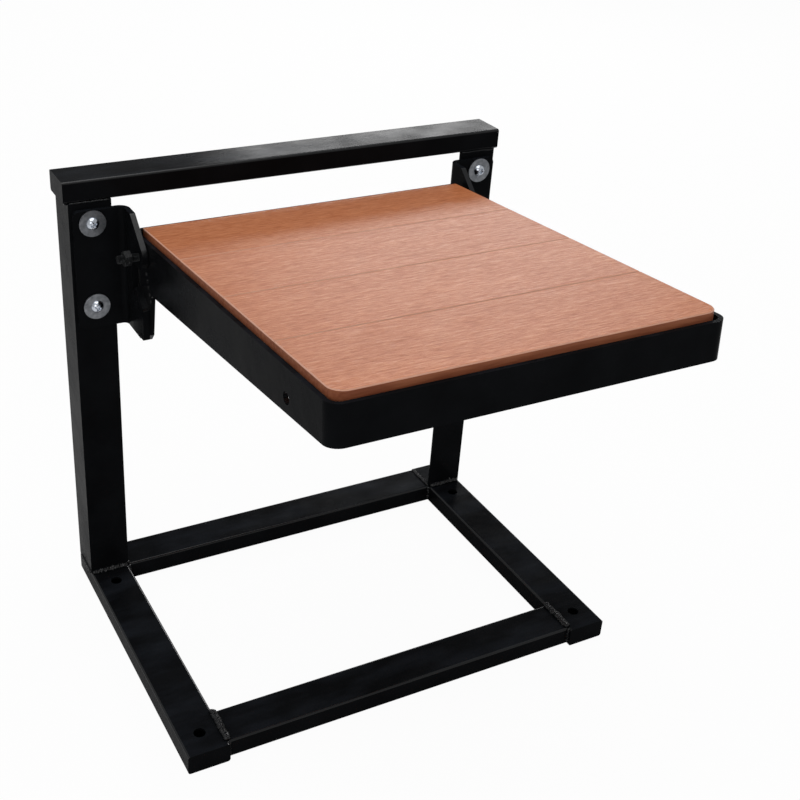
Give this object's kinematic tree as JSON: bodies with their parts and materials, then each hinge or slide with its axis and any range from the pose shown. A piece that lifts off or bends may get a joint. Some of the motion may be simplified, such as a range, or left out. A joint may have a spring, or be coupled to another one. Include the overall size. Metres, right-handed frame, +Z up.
{
  "type": "fold down seat",
  "caption": "Fold down seat of wood planks in a steel rim, hinged on wall brackets screwed to a welded stand of angles and flat tubes that bolts to the floor; folded up, it leans on the top tube.",
  "frame": {"origin": "on the floor, in the middle of the four floor bolt holes", "axes": "+Z up, +Y towards the back (the side of the uprights), +X towards the right as seen from the front"},
  "size_m": [0.458, 0.4505, 0.45],
  "materials": {
    "black_enamel": "gloss",
    "wood_planks": "satin",
    "zinc_plate": "satin"
  },
  "bodies": {
    "stand": {"left_upright": "black_enamel", "right_upright": "black_enamel", "top_tube": "black_enamel", "top_tube_end_plates": "black_enamel", "left_base_tube": "black_enamel", "right_base_tube": "black_enamel", "base_tube_end_plates": "black_enamel", "front_cross_tube": "black_enamel", "rear_cross_tube": "black_enamel", "left_wall_bracket": "black_enamel", "right_wall_bracket": "black_enamel", "bracket_screws": "zinc_plate", "bracket_washers": "zinc_plate", "rivet_nuts": "zinc_plate", "left_hinge_bolt": "black_enamel", "right_hinge_bolt": "black_enamel", "hinge_nuts": "black_enamel", "hinge_washers": "black_enamel"},
    "seat": {"seat_rim": "black_enamel", "rear_cross_bar": "black_enamel", "left_support_bar": "black_enamel", "right_support_bar": "black_enamel", "left_stop_block": "black_enamel", "right_stop_block": "black_enamel", "rear_plank": "wood_planks", "second_plank": "wood_planks", "third_plank": "wood_planks", "front_plank": "wood_planks", "plank_screws": "zinc_plate"}
  },
  "joints": [
    {"name": "seat_fold", "type": "hinge", "parent": "stand", "child": "seat", "pos_m": [0, 0.094, 0.3898], "axis": [-1, 0, 0], "range_deg": [0, 104]}
  ]
}
